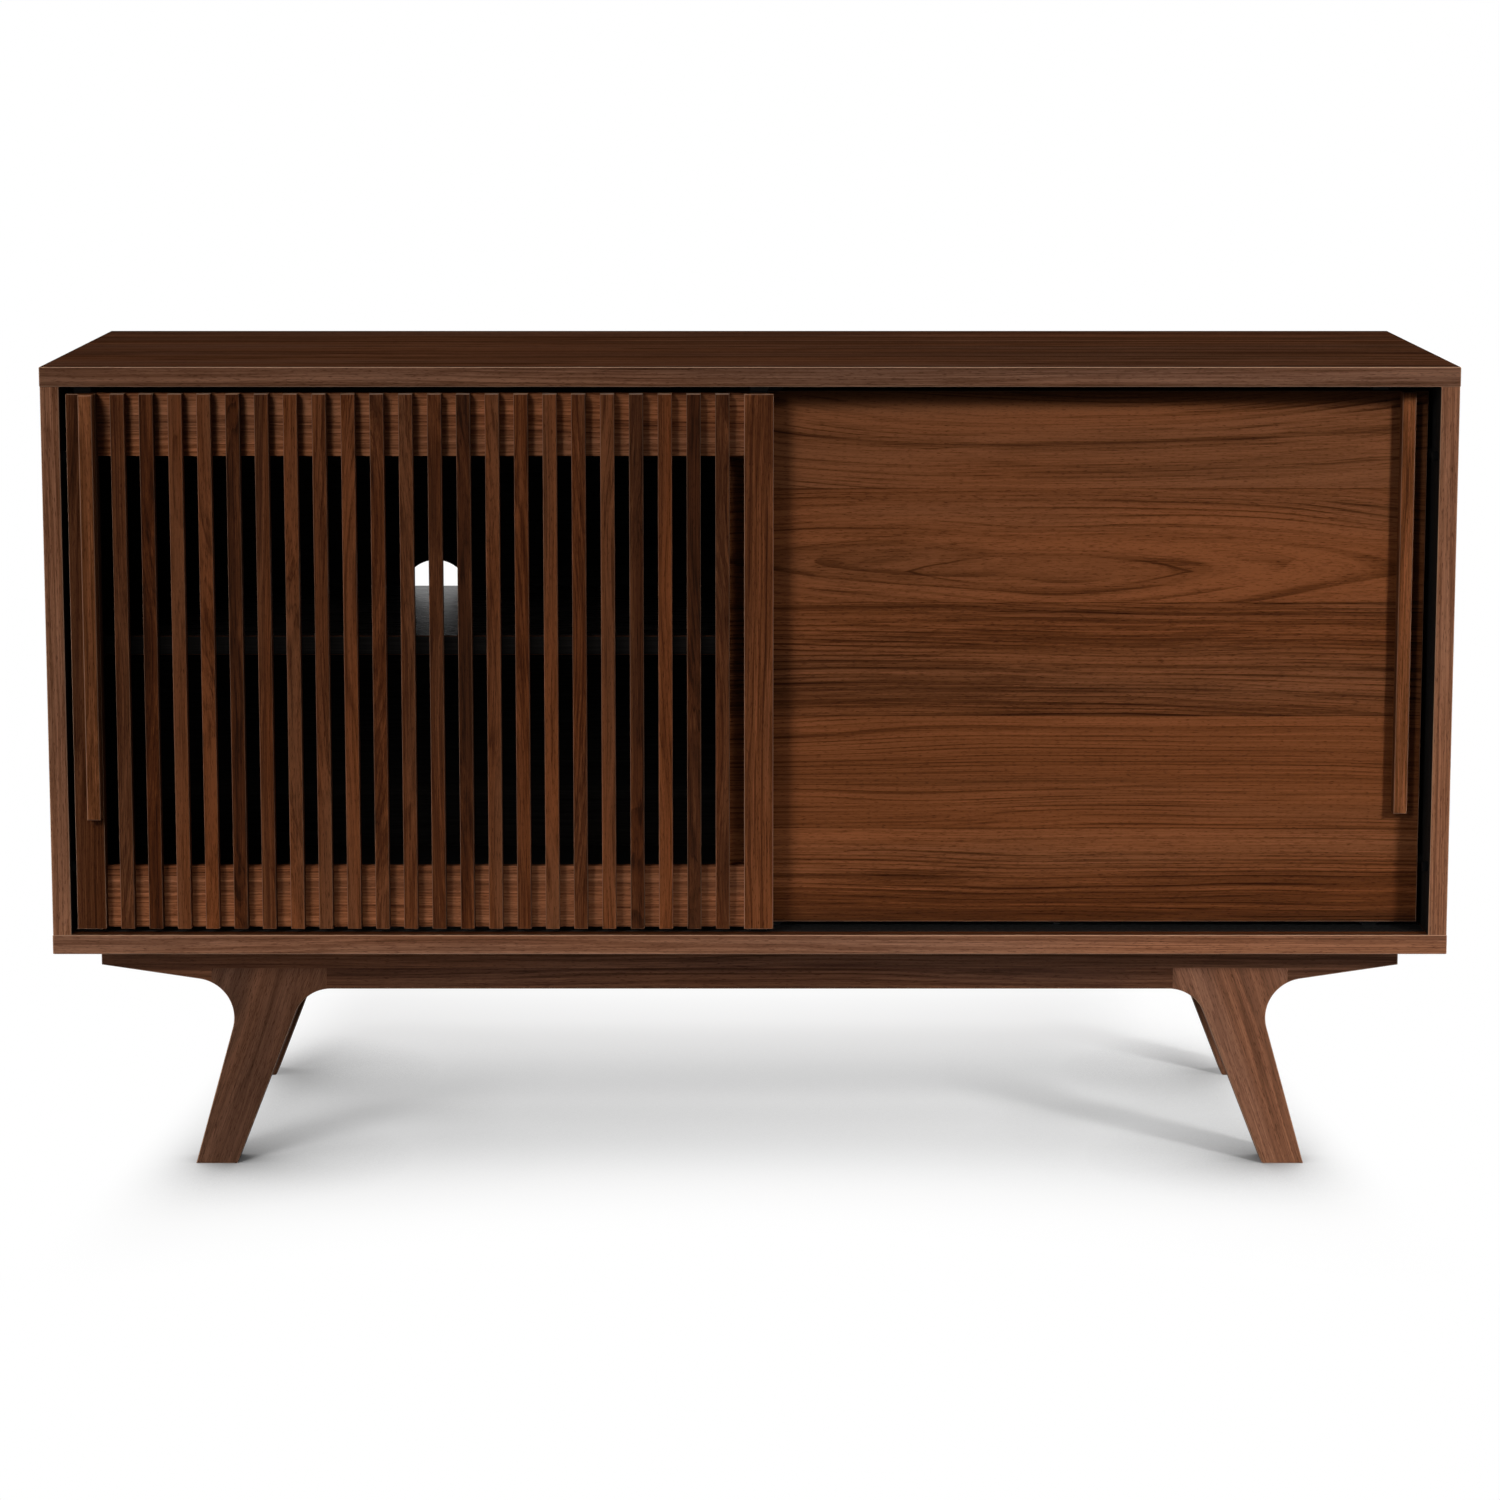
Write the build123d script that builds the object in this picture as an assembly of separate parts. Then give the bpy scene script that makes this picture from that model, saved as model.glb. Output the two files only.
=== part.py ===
from build123d import *
import os
from math import radians, tan

# Walnut media cabinet with two bypass sliding doors, on a base of splayed legs.
# Millimetres. +X is to the right, the front faces -Y and +Z is up. The origin is on the floor,
# under the middle of the overall box. A depth is measured back from the front of the case.

# Case boards
CASE_WIDTH = 1346.0
CASE_DEPTH = 457.0
OVERALL_HEIGHT = 787.0
BASE_HEIGHT = 219.0
TOP_THICKNESS = 19.0
BOTTOM_THICKNESS = 19.0
SIDE_THICKNESS = 18.0
SIDE_INSET = 0.5  # the sides stand in from the ends of the top and bottom
DIVIDER_THICKNESS = 19.0
CASE_EASE = 1.2  # rounding of the case's edges
FIT_GAP = 0.05  # between a fastener or dowel and its hole

# Shelves and the pins that carry them
SHELF_THICKNESS = 19.0
SHELF_RISE = 262.8  # underside above the case floor
SHELF_SIDE_GAP = 1.5
SHELF_BACK_GAP = 15.0
PIN_RADIUS = 2.5
PIN_REACH = 8.0  # into the board, and out under the shelf
PIN_COLLAR_RADIUS = 3.5
PIN_COLLAR_LENGTH = 1.0
PIN_INSET = 40.0  # from the shelf's front and back edges

# Back panels
BACK_THICKNESS = 6.0
BACK_RECESS = 8.0  # behind the panels, to the case's back edges
BACK_GAP = 0.5  # round the panels in their rebate
REBATE_WIDTH = 9.0
CABLE_HOLE_RADIUS = 35.0

# Doors
DOOR_SIDE_GAP = 5.5
DOOR_TOP_GAP = 7.0
DOOR_BOTTOM_GAP = 5.0
DOOR_OVERLAP = 45.0
DOOR_SETBACK = 4.0  # slatted door, behind the case front
DOOR_PASS_GAP = 1.5  # between the solid door's handle and the slatted door
INTERIOR_GAP = 13.5  # behind the solid door, to the shelves and divider
SOLID_DOOR_THICKNESS = 18.0
SOLID_DOOR_EASE = 1.0
STILE_WIDTH = 28.0
DOOR_RAIL_HEIGHT = 60.0
DOOR_RAIL_DEPTH = 8.0
TENON_LENGTH = 14.0
TENON_THICKNESS = 4.0
TENON_OUTER_SHOULDER = 20.0
TENON_INNER_SHOULDER = 8.0
SLAT_COUNT = 22
SLAT_WIDTH = 13.4
SLAT_DEPTH = 11.5
SLAT_EASE = 0.8
HANDLE_WIDTH = 13.4
HANDLE_DEPTH = 13.0
HANDLE_LENGTH = 409.0
HANDLE_INSET = 13.5  # from the door's outer edge
HANDLE_EASE = 1.5

# Tracks, rollers and top guides
TRACK_LIP = 15.0  # wood left in front of the tracks
TRACK_TAIL = 7.5  # flat behind the rear channel, which takes the screws
TRACK_END_GAP = 0.5
CHANNEL_WIDTH = 5.0
CHANNEL_WALL = 1.5  # in front of the front channel
BOTTOM_TRACK_HEIGHT = 6.0
BOTTOM_CHANNEL_DEPTH = 3.5
TOP_TRACK_HEIGHT = 10.5
TOP_CHANNEL_DEPTH = 9.0
ROLLER_RADIUS = 9.0
ROLLER_WIDTH = 4.0
ROLLER_CHAMFER = 0.6
ROLLER_SEAT_GAP = 0.3  # over the channel's floor
ROLLER_SIDE_GAP = 0.4
ROLLER_ROOM = 1.0  # round the tread inside the housing
ROLLER_FIT = 0.06  # radial, on the axle
AXLE_RADIUS = 1.5
HOUSING_LENGTH = 24.0
HOUSING_WIDTH = 7.0
HOUSING_ROOF = 1.5
HOUSING_DROP = 2.0  # below the door's bottom edge
SOLID_DOOR_ROLLER_INSET = 45.0  # from the door's edges
GUIDE_SEAT_DEPTH = 12.0
GUIDE_TONGUE_LENGTH = 18.0
GUIDE_TONGUE_WIDTH = 4.0
GUIDE_ENGAGEMENT = 5.0  # up into the top channel
BUMPER_RADIUS = 5.0
BUMPER_CROWN = 1.0
BUMPER_GAP = 0.3  # to the closed door
BUMPER_INSET = 60.0  # from the door's top and bottom

# Screws and dowels of the case
SCREW_RADIUS = 1.75
SCREW_HEAD_RADIUS = 3.4
SCREW_HEAD_HEIGHT = 2.0
TRACK_SCREW_LENGTH = 12.0
TOP_TRACK_SCREW_LENGTH = 16.0
TRACK_SCREW_COUNT = 5
TRACK_SCREW_INSET = 55.0
BACK_SCREW_LENGTH = 20.0
BACK_SCREW_COUNT = 2  # along each edge of a back panel
BACK_SCREW_INSET = 90.0
HANDLE_SCREW_BITE = 9.0  # into the handle
HANDLE_SCREW_COUNT = 3
HANDLE_SCREW_INSET = 60.0
CASE_DOWEL_RADIUS = 4.0
CASE_DOWEL_IN_PANEL = 12.0
CASE_DOWEL_IN_BOARD = 18.0
CASE_DOWEL_COUNT = 3
CASE_DOWEL_INSET = 50.0
DOWEL_END_GAP = 0.5

# Base: two leg frames joined by cross rails
FRAME_SETBACK = 39.0
FRAME_THICKNESS = 35.0
FRAME_EASE = 1.5
RAIL_END_INSET = 40.7  # from the ends of the case
RAIL_HEIGHT = 22.7
RAIL_END_HEIGHT = 19.3
WING_ANGLE = 8.5
STRETCHER_HEIGHT = 20.8
FOOT_INSET = 129.1  # from the ends of the case to the feet
FOOT_WIDTH = 40.7
FOOT_ROUND = 3.0
LEG_OUTER_ANGLE = 15.7
LEG_INNER_ANGLE = 21.4
LEG_OUTER_FILLET = 39.0
LEG_INNER_FILLET = 37.0
BLANK_INNER_MARGIN = 21.5  # leg blank inside the inner corner
BLANK_OUTER_MARGIN = 31.5  # leg blank outside the outer corner
CROSS_RAIL_WIDTH = 60.0
BASE_DOWEL_RADIUS = 5.0
LEG_DOWEL_SPACING = 72.0
LEG_DOWEL_IN_RAIL = 16.0
LEG_DOWEL_IN_LEG = 18.0
CROSS_DOWEL_SPACING = 30.0
CROSS_DOWEL_IN_FRAME = 15.0
CROSS_DOWEL_IN_RAIL = 25.0
BOLT_RADIUS = 3.0
BOLT_HEAD_RADIUS = 7.0
BOLT_HEAD_HEIGHT = 3.0
BOLT_CLEARANCE = 0.3
BOLT_IN_INSERT = 8.0
BOLT_ACCESS_RADIUS = 8.0  # bore through the stretcher to the bolt's head
STRETCHER_BOLT_X = 200.0
CROSS_BOLT_INSET = 60.0
INSERT_RADIUS = 4.5
INSERT_LENGTH = 10.0

# Places that follow from the sizes
HANDLE_PROUD = max(HANDLE_DEPTH - DOOR_SETBACK, 0.0)
CASE_FRONT_Y = HANDLE_PROUD - (CASE_DEPTH + HANDLE_PROUD) / 2
CASE_FLOOR = BASE_HEIGHT + BOTTOM_THICKNESS
CASE_CEILING = OVERALL_HEIGHT - TOP_THICKNESS
CASE_END = CASE_WIDTH / 2
SIDE_OUTER = CASE_END - SIDE_INSET
SIDE_INNER = SIDE_OUTER - SIDE_THICKNESS
SIDE_MIDDLE = (SIDE_OUTER + SIDE_INNER) / 2
DIVIDER_FACE = DIVIDER_THICKNESS / 2
BAY_MIDDLE = (SIDE_INNER + DIVIDER_FACE) / 2
BACK_OUTER = CASE_DEPTH - BACK_RECESS
BACK_INNER = BACK_OUTER - BACK_THICKNESS
SLATTED_FRONT = DOOR_SETBACK
SLATTED_BACK = SLATTED_FRONT + SLAT_DEPTH + DOOR_RAIL_DEPTH
SOLID_FRONT = SLATTED_BACK + DOOR_PASS_GAP + HANDLE_DEPTH
SOLID_BACK = SOLID_FRONT + SOLID_DOOR_THICKNESS
INTERIOR_FRONT = SOLID_BACK + INTERIOR_GAP
SHELF_BACK = BACK_INNER - SHELF_BACK_GAP
SHELF_BOTTOM = CASE_FLOOR + SHELF_RISE
SHELF_MIDDLE = SHELF_BOTTOM + SHELF_THICKNESS / 2
DOOR_BOTTOM = CASE_FLOOR + DOOR_BOTTOM_GAP
DOOR_TOP = CASE_CEILING - DOOR_TOP_GAP
DOOR_OUTER = SIDE_INNER - DOOR_SIDE_GAP
DOOR_INNER = DOOR_OVERLAP / 2
SLATTED_X = (-DOOR_OUTER, DOOR_INNER)
SOLID_X = (-DOOR_INNER, DOOR_OUTER)
FRONT_CHANNEL = TRACK_LIP + CHANNEL_WALL + CHANNEL_WIDTH / 2
REAR_CHANNEL = (SOLID_FRONT + SOLID_BACK) / 2
TRACK_BACK = REAR_CHANNEL + CHANNEL_WIDTH / 2 + TRACK_TAIL
TRACK_SCREW_DEPTH = TRACK_BACK - TRACK_TAIL / 2
AXLE_HEIGHT = CASE_FLOOR - BOTTOM_CHANNEL_DEPTH + ROLLER_SEAT_GAP + ROLLER_RADIUS
HOUSING_TOP = AXLE_HEIGHT + ROLLER_RADIUS + ROLLER_ROOM + HOUSING_ROOF
RAIL_BOTTOM = BASE_HEIGHT - RAIL_HEIGHT
STRETCHER_BOTTOM = RAIL_BOTTOM - STRETCHER_HEIGHT
RAIL_END = CASE_END - RAIL_END_INSET
FOOT_OUTER = CASE_END - FOOT_INSET
FOOT_INNER = FOOT_OUTER - FOOT_WIDTH
INNER_CORNER_X = FOOT_INNER - tan(radians(LEG_INNER_ANGLE)) * STRETCHER_BOTTOM
WING_RISE = tan(radians(WING_ANGLE))
LEG_LEAN = tan(radians(LEG_OUTER_ANGLE))
WING_TIP_Z = BASE_HEIGHT - RAIL_END_HEIGHT
OUTER_CORNER_Z = (WING_TIP_Z - WING_RISE * (RAIL_END - FOOT_OUTER)) / (1 + WING_RISE * LEG_LEAN)
OUTER_CORNER_X = FOOT_OUTER - LEG_LEAN * OUTER_CORNER_Z
BLANK_INNER = INNER_CORNER_X - BLANK_INNER_MARGIN
BLANK_OUTER = OUTER_CORNER_X + BLANK_OUTER_MARGIN
BLANK_MIDDLE = (BLANK_INNER + BLANK_OUTER) / 2
FRONT_FRAME = (FRAME_SETBACK, FRAME_SETBACK + FRAME_THICKNESS)
REAR_FRAME = (CASE_DEPTH - FRONT_FRAME[1], CASE_DEPTH - FRONT_FRAME[0])
TO_BACK = (0, 1, 0)
TO_FRONT = (0, -1, 0)
UP = (0, 0, 1)
DOWN = (0, 0, -1)
LEFT = (-1, 0, 0)
RIGHT = (1, 0, 0)


def point(x, depth, z):
    """A point given by its depth behind the case front."""
    return (x, CASE_FRONT_Y + depth, z)


def board(x, depth, z):
    """A square-edged board between two limits on each axis."""
    size = (x[1] - x[0], depth[1] - depth[0], z[1] - z[0])
    return Pos(*point(x[0], depth[0], z[0])) * Box(*size, align=(Align.MIN, Align.MIN, Align.MIN))


def turned(profile, start, direction):
    """A turned solid: (radius, height) points revolved about an axis from start along direction."""
    outline = Plane.XZ * make_face(Polyline(*profile, close=True))
    solid = revolve(outline, Axis.Z)
    return Plane(origin=start, z_dir=direction).location * solid


def rod(radius, start, direction, length):
    return turned([(0, 0), (radius, 0), (radius, length), (0, length)], start, direction)


def dowel_joint(radius, joint, direction, behind, ahead):
    """A dowel across a joint and the hole for it, as (dowel, hole)."""
    axis = Vector(*direction)
    start = Vector(*joint) - axis * behind
    hole_start = start - axis * DOWEL_END_GAP
    peg = rod(radius, start, direction, behind + ahead)
    hole = rod(radius + FIT_GAP, hole_start, direction, behind + ahead + 2 * DOWEL_END_GAP)
    return peg, hole


def countersunk_screw(start, direction, length, gap=0.0):
    """A flat-headed screw from its head's face; gap grows it into its own hole."""
    shank = SCREW_RADIUS + gap
    head = SCREW_HEAD_RADIUS + gap
    end = length + gap
    profile = [(0, 0), (head, 0), (shank, SCREW_HEAD_HEIGHT), (shank, end), (0, end)]
    return turned(profile, start, direction)


def pan_head_screw(start, direction, length, gap=0.0):
    """A screw whose head stands on the surface that start lies on."""
    shank = SCREW_RADIUS + gap
    end = length + gap
    profile = [
        (0, -SCREW_HEAD_HEIGHT),
        (SCREW_HEAD_RADIUS, -SCREW_HEAD_HEIGHT),
        (SCREW_HEAD_RADIUS, 0),
        (shank, 0),
        (shank, end),
        (0, end),
    ]
    return turned(profile, start, direction)


def spread(first, last, count):
    """Evenly spaced places from first to last."""
    return [first + (last - first) * i / (count - 1) for i in range(count)]


def case_dowel_joints():
    """Dowels between the top or bottom and the boards that stand between them."""
    last = BACK_INNER - CASE_DOWEL_INSET
    side_depths = spread(CASE_DOWEL_INSET, last, CASE_DOWEL_COUNT)
    divider_depths = spread(INTERIOR_FRONT + CASE_DOWEL_INSET, last, CASE_DOWEL_COUNT)
    places = [(x, depth) for x in (-SIDE_MIDDLE, SIDE_MIDDLE) for depth in side_depths]
    places += [(0, depth) for depth in divider_depths]
    sizes = (CASE_DOWEL_IN_PANEL, CASE_DOWEL_IN_BOARD)
    joints = []
    for x, depth in places:
        joints.append(dowel_joint(CASE_DOWEL_RADIUS, point(x, depth, CASE_CEILING), DOWN, *sizes))
        joints.append(dowel_joint(CASE_DOWEL_RADIUS, point(x, depth, CASE_FLOOR), UP, *sizes))
    return joints


def shelf_pin(x, depth, direction, gap=0.0):
    """A collared steel pin that reaches into a board and out under a shelf."""
    shank = PIN_RADIUS + gap
    profile = [
        (0, -PIN_REACH - gap),
        (shank, -PIN_REACH - gap),
        (shank, 0),
        (PIN_COLLAR_RADIUS, 0),
        (PIN_COLLAR_RADIUS, PIN_COLLAR_LENGTH),
        (PIN_RADIUS, PIN_COLLAR_LENGTH),
        (PIN_RADIUS, PIN_REACH),
        (0, PIN_REACH),
    ]
    return turned(profile, point(x, depth, SHELF_BOTTOM - PIN_RADIUS), direction)


def shelf_pins(gap=0.0):
    walls = ((-SIDE_INNER, RIGHT), (-DIVIDER_FACE, LEFT), (DIVIDER_FACE, RIGHT), (SIDE_INNER, LEFT))
    depths = (INTERIOR_FRONT + PIN_INSET, SHELF_BACK - PIN_INSET)
    return [shelf_pin(x, depth, direction, gap) for depth in depths for x, direction in walls]


def track_screws(gap=0.0):
    screws = []
    for x in spread(TRACK_SCREW_INSET - SIDE_INNER, SIDE_INNER - TRACK_SCREW_INSET, TRACK_SCREW_COUNT):
        low = point(x, TRACK_SCREW_DEPTH, CASE_FLOOR)
        high = point(x, TRACK_SCREW_DEPTH, CASE_CEILING)
        screws.append(countersunk_screw(low, DOWN, TRACK_SCREW_LENGTH, gap))
        screws.append(countersunk_screw(high, UP, TOP_TRACK_SCREW_LENGTH, gap))
    return screws


def back_screws(gap=0.0):
    """Screws through the edges of the back panels into the shoulders of the rebate and the divider."""
    margin = (REBATE_WIDTH - BACK_GAP) / 2
    low = CASE_FLOOR - margin
    high = CASE_CEILING + margin
    rows = spread(CASE_FLOOR + BACK_SCREW_INSET, CASE_CEILING - BACK_SCREW_INSET, BACK_SCREW_COUNT)
    columns = spread(BACK_SCREW_INSET, SIDE_INNER - BACK_SCREW_INSET, BACK_SCREW_COUNT)
    places = [(x, z) for x in columns for z in (low, high)]
    places += [(x, z) for z in rows for x in (DIVIDER_FACE / 2, SIDE_INNER + margin)]
    screws = []
    for x, z in places:
        for hand in (-1, 1):
            start = point(hand * x, BACK_OUTER, z)
            screws.append(pan_head_screw(start, TO_FRONT, BACK_SCREW_LENGTH, gap))
    return screws


def tracks():
    """Double channels let into the bottom and top, which the doors roll and are guided in."""
    length = (TRACK_END_GAP - SIDE_INNER, SIDE_INNER - TRACK_END_GAP)
    depth = (TRACK_LIP, TRACK_BACK)
    bottom = board(length, depth, (CASE_FLOOR - BOTTOM_TRACK_HEIGHT, CASE_FLOOR))
    top = board(length, depth, (CASE_CEILING, CASE_CEILING + TOP_TRACK_HEIGHT))
    for middle in (FRONT_CHANNEL, REAR_CHANNEL):
        channel = (middle - CHANNEL_WIDTH / 2, middle + CHANNEL_WIDTH / 2)
        bottom -= board(length, channel, (CASE_FLOOR - BOTTOM_CHANNEL_DEPTH, CASE_FLOOR))
        top -= board(length, channel, (CASE_CEILING, CASE_CEILING + TOP_CHANNEL_DEPTH))
    return bottom, top


def door_bumpers():
    """Rubber stops on the sides, in each door's plane, that set the gap beside a closed door."""
    reach = DOOR_SIDE_GAP - BUMPER_GAP
    rim = BUMPER_RADIUS - BUMPER_CROWN
    profile = [(0, 0), (BUMPER_RADIUS, 0), (BUMPER_RADIUS, reach - BUMPER_CROWN), (rim, reach), (0, reach)]
    depths = ((SLATTED_FRONT + SLATTED_BACK) / 2, (SOLID_FRONT + SOLID_BACK) / 2)
    heights = (DOOR_BOTTOM + BUMPER_INSET, DOOR_TOP - BUMPER_INSET)
    bumpers = []
    for x, direction in ((-SIDE_INNER, RIGHT), (SIDE_INNER, LEFT)):
        bumpers += [turned(profile, point(x, depth, z), direction) for depth in depths for z in heights]
    return bumpers


def track_groove(low, high):
    """The groove in a board that a track lies in, stopped at the sides."""
    return board((-SIDE_INNER, SIDE_INNER), (TRACK_LIP, TRACK_BACK), (low, high))


def back_rebate():
    """The recess round the back opening that the back panels lie in."""
    edge = SIDE_INNER + REBATE_WIDTH
    height = (CASE_FLOOR - REBATE_WIDTH, CASE_CEILING + REBATE_WIDTH)
    return board((-edge, edge), (BACK_INNER, CASE_DEPTH), height)


def case_boards(dowel_holes, insert_holes):
    across = (-CASE_END, CASE_END)
    whole_depth = (0, CASE_DEPTH)
    height = (CASE_FLOOR, CASE_CEILING)
    screw_holes = track_screws(FIT_GAP) + back_screws(FIT_GAP)
    pin_holes = shelf_pins(FIT_GAP)

    top = board(across, whole_depth, (CASE_CEILING, OVERALL_HEIGHT))
    top = fillet(top.edges(), CASE_EASE)
    top -= [back_rebate(), track_groove(CASE_CEILING, CASE_CEILING + TOP_TRACK_HEIGHT)]
    top -= dowel_holes + screw_holes

    bottom = board(across, whole_depth, (BASE_HEIGHT, CASE_FLOOR))
    bottom = fillet(bottom.edges(), CASE_EASE)
    bottom -= [back_rebate(), track_groove(CASE_FLOOR - BOTTOM_TRACK_HEIGHT, CASE_FLOOR)]
    bottom -= dowel_holes + screw_holes + insert_holes

    boards = {"top_panel": top, "bottom_panel": bottom}
    side_limits = {"left_side": (-SIDE_OUTER, -SIDE_INNER), "right_side": (SIDE_INNER, SIDE_OUTER)}
    for name, limits in side_limits.items():
        side = board(limits, whole_depth, height)
        side = fillet(side.edges().filter_by(Axis.Z), CASE_EASE)
        boards[name] = side - [back_rebate()] - (dowel_holes + screw_holes + pin_holes)

    divider = board((-DIVIDER_FACE, DIVIDER_FACE), (INTERIOR_FRONT, BACK_INNER), height)
    divider = fillet(divider.edges().filter_by(Axis.Z).group_by(Axis.Y)[0], CASE_EASE)
    boards["center_divider"] = divider - (dowel_holes + screw_holes + pin_holes)
    return boards


def back_panels():
    panels = {}
    edge = SIDE_INNER + REBATE_WIDTH - BACK_GAP
    height = (CASE_FLOOR - REBATE_WIDTH + BACK_GAP, CASE_CEILING + REBATE_WIDTH - BACK_GAP)
    holes = back_screws(FIT_GAP)
    for name, hand in (("left_back_panel", -1), ("right_back_panel", 1)):
        limits = sorted((hand * BACK_GAP / 2, hand * edge))
        panel = board(limits, (BACK_INNER, BACK_OUTER), height)
        hole_start = point(hand * BAY_MIDDLE, BACK_INNER, SHELF_MIDDLE)
        panels[name] = panel - rod(CABLE_HOLE_RADIUS, hole_start, TO_BACK, BACK_THICKNESS) - holes
    return panels


def shelves():
    near = DIVIDER_FACE + SHELF_SIDE_GAP
    far = SIDE_INNER - SHELF_SIDE_GAP
    boards = {}
    for name, limits in (("left_shelf", (-far, -near)), ("right_shelf", (near, far))):
        shelf = board(limits, (INTERIOR_FRONT, SHELF_BACK), (SHELF_BOTTOM, SHELF_BOTTOM + SHELF_THICKNESS))
        boards[name] = fillet(shelf.edges().filter_by(Axis.X).group_by(Axis.Y)[0], CASE_EASE)
    return boards


def handle(x, front):
    """A square strip on a door's face, flush with the door's top."""
    strip = board(x, (front - HANDLE_DEPTH, front), (DOOR_TOP - HANDLE_LENGTH, DOOR_TOP))
    return fillet(strip.faces().sort_by(Axis.Y)[0].edges(), HANDLE_EASE)


def handle_screws(x, back, thickness, gap=0.0):
    """Screws from behind the door into its handle."""
    middle = (x[0] + x[1]) / 2
    lowest = DOOR_TOP - HANDLE_LENGTH + HANDLE_SCREW_INSET
    heights = spread(lowest, DOOR_TOP - HANDLE_SCREW_INSET, HANDLE_SCREW_COUNT)
    length = thickness + HANDLE_SCREW_BITE
    return [countersunk_screw(point(middle, back, z), TO_FRONT, length, gap) for z in heights]


def slot_block(x, depth, z, length, width, gap=0.0):
    """A round-ended block between two heights, as a router leaves its seat."""
    outline = SlotOverall(length + 2 * gap, width + 2 * gap)
    return Pos(*point(x, depth, z[0])) * extrude(outline, z[1] - z[0])


def roller(x, depth):
    half = ROLLER_WIDTH / 2
    bore = AXLE_RADIUS + ROLLER_FIT
    shoulder = ROLLER_RADIUS - ROLLER_CHAMFER
    land = half - ROLLER_CHAMFER
    profile = [
        (bore, -half),
        (shoulder, -half),
        (ROLLER_RADIUS, -land),
        (ROLLER_RADIUS, land),
        (shoulder, half),
        (bore, half),
    ]
    return turned(profile, point(x, depth, AXLE_HEIGHT), TO_BACK)


def roller_axle(x, depth, gap=0.0):
    start = point(x, depth - HOUSING_WIDTH / 2, AXLE_HEIGHT)
    return rod(AXLE_RADIUS + gap, start, TO_BACK, HOUSING_WIDTH)


def roller_housing(x, depth):
    """A moulded shell, open below, that carries a roller on its axle."""
    low = DOOR_BOTTOM - HOUSING_DROP
    shell = slot_block(x, depth, (low, HOUSING_TOP), HOUSING_LENGTH, HOUSING_WIDTH)
    room = ROLLER_RADIUS + ROLLER_ROOM
    half = ROLLER_WIDTH / 2 + ROLLER_SIDE_GAP
    shell -= board((x - room, x + room), (depth - half, depth + half), (low, AXLE_HEIGHT + room))
    return shell - roller_axle(x, depth, FIT_GAP)


def roller_mortise(x, depth):
    height = (DOOR_BOTTOM, HOUSING_TOP + FIT_GAP)
    return slot_block(x, depth, height, HOUSING_LENGTH, HOUSING_WIDTH, FIT_GAP)


def top_guide(x, depth):
    """A nylon block in the door's top edge with a tongue that runs in the top channel."""
    seat = slot_block(x, depth, (DOOR_TOP - GUIDE_SEAT_DEPTH, DOOR_TOP), HOUSING_LENGTH, HOUSING_WIDTH)
    tongue_z = (DOOR_TOP, CASE_CEILING + GUIDE_ENGAGEMENT)
    return seat + slot_block(x, depth, tongue_z, GUIDE_TONGUE_LENGTH, GUIDE_TONGUE_WIDTH)


def guide_mortise(x, depth):
    height = (DOOR_TOP - GUIDE_SEAT_DEPTH - FIT_GAP, DOOR_TOP)
    return slot_block(x, depth, height, HOUSING_LENGTH, HOUSING_WIDTH, FIT_GAP)


def door_hardware(door, places, depth):
    """Rollers, housings, axles and top guides of one door; places are (outer, inner)."""
    return {
        f"{door}_roller_housings": [roller_housing(x, depth) for x in places],
        f"{door}_roller_axles": [roller_axle(x, depth) for x in places],
        f"{door}_top_guides": [top_guide(x, depth) for x in places],
        f"{door}_outer_roller": roller(places[0], depth),
        f"{door}_inner_roller": roller(places[1], depth),
    }


def tenon_heights():
    """Height limits of the bottom and top rails' tenons."""
    low = (DOOR_BOTTOM + TENON_OUTER_SHOULDER, DOOR_BOTTOM + DOOR_RAIL_HEIGHT - TENON_INNER_SHOULDER)
    high = (DOOR_TOP - DOOR_RAIL_HEIGHT + TENON_INNER_SHOULDER, DOOR_TOP - TENON_OUTER_SHOULDER)
    return low, high


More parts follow.
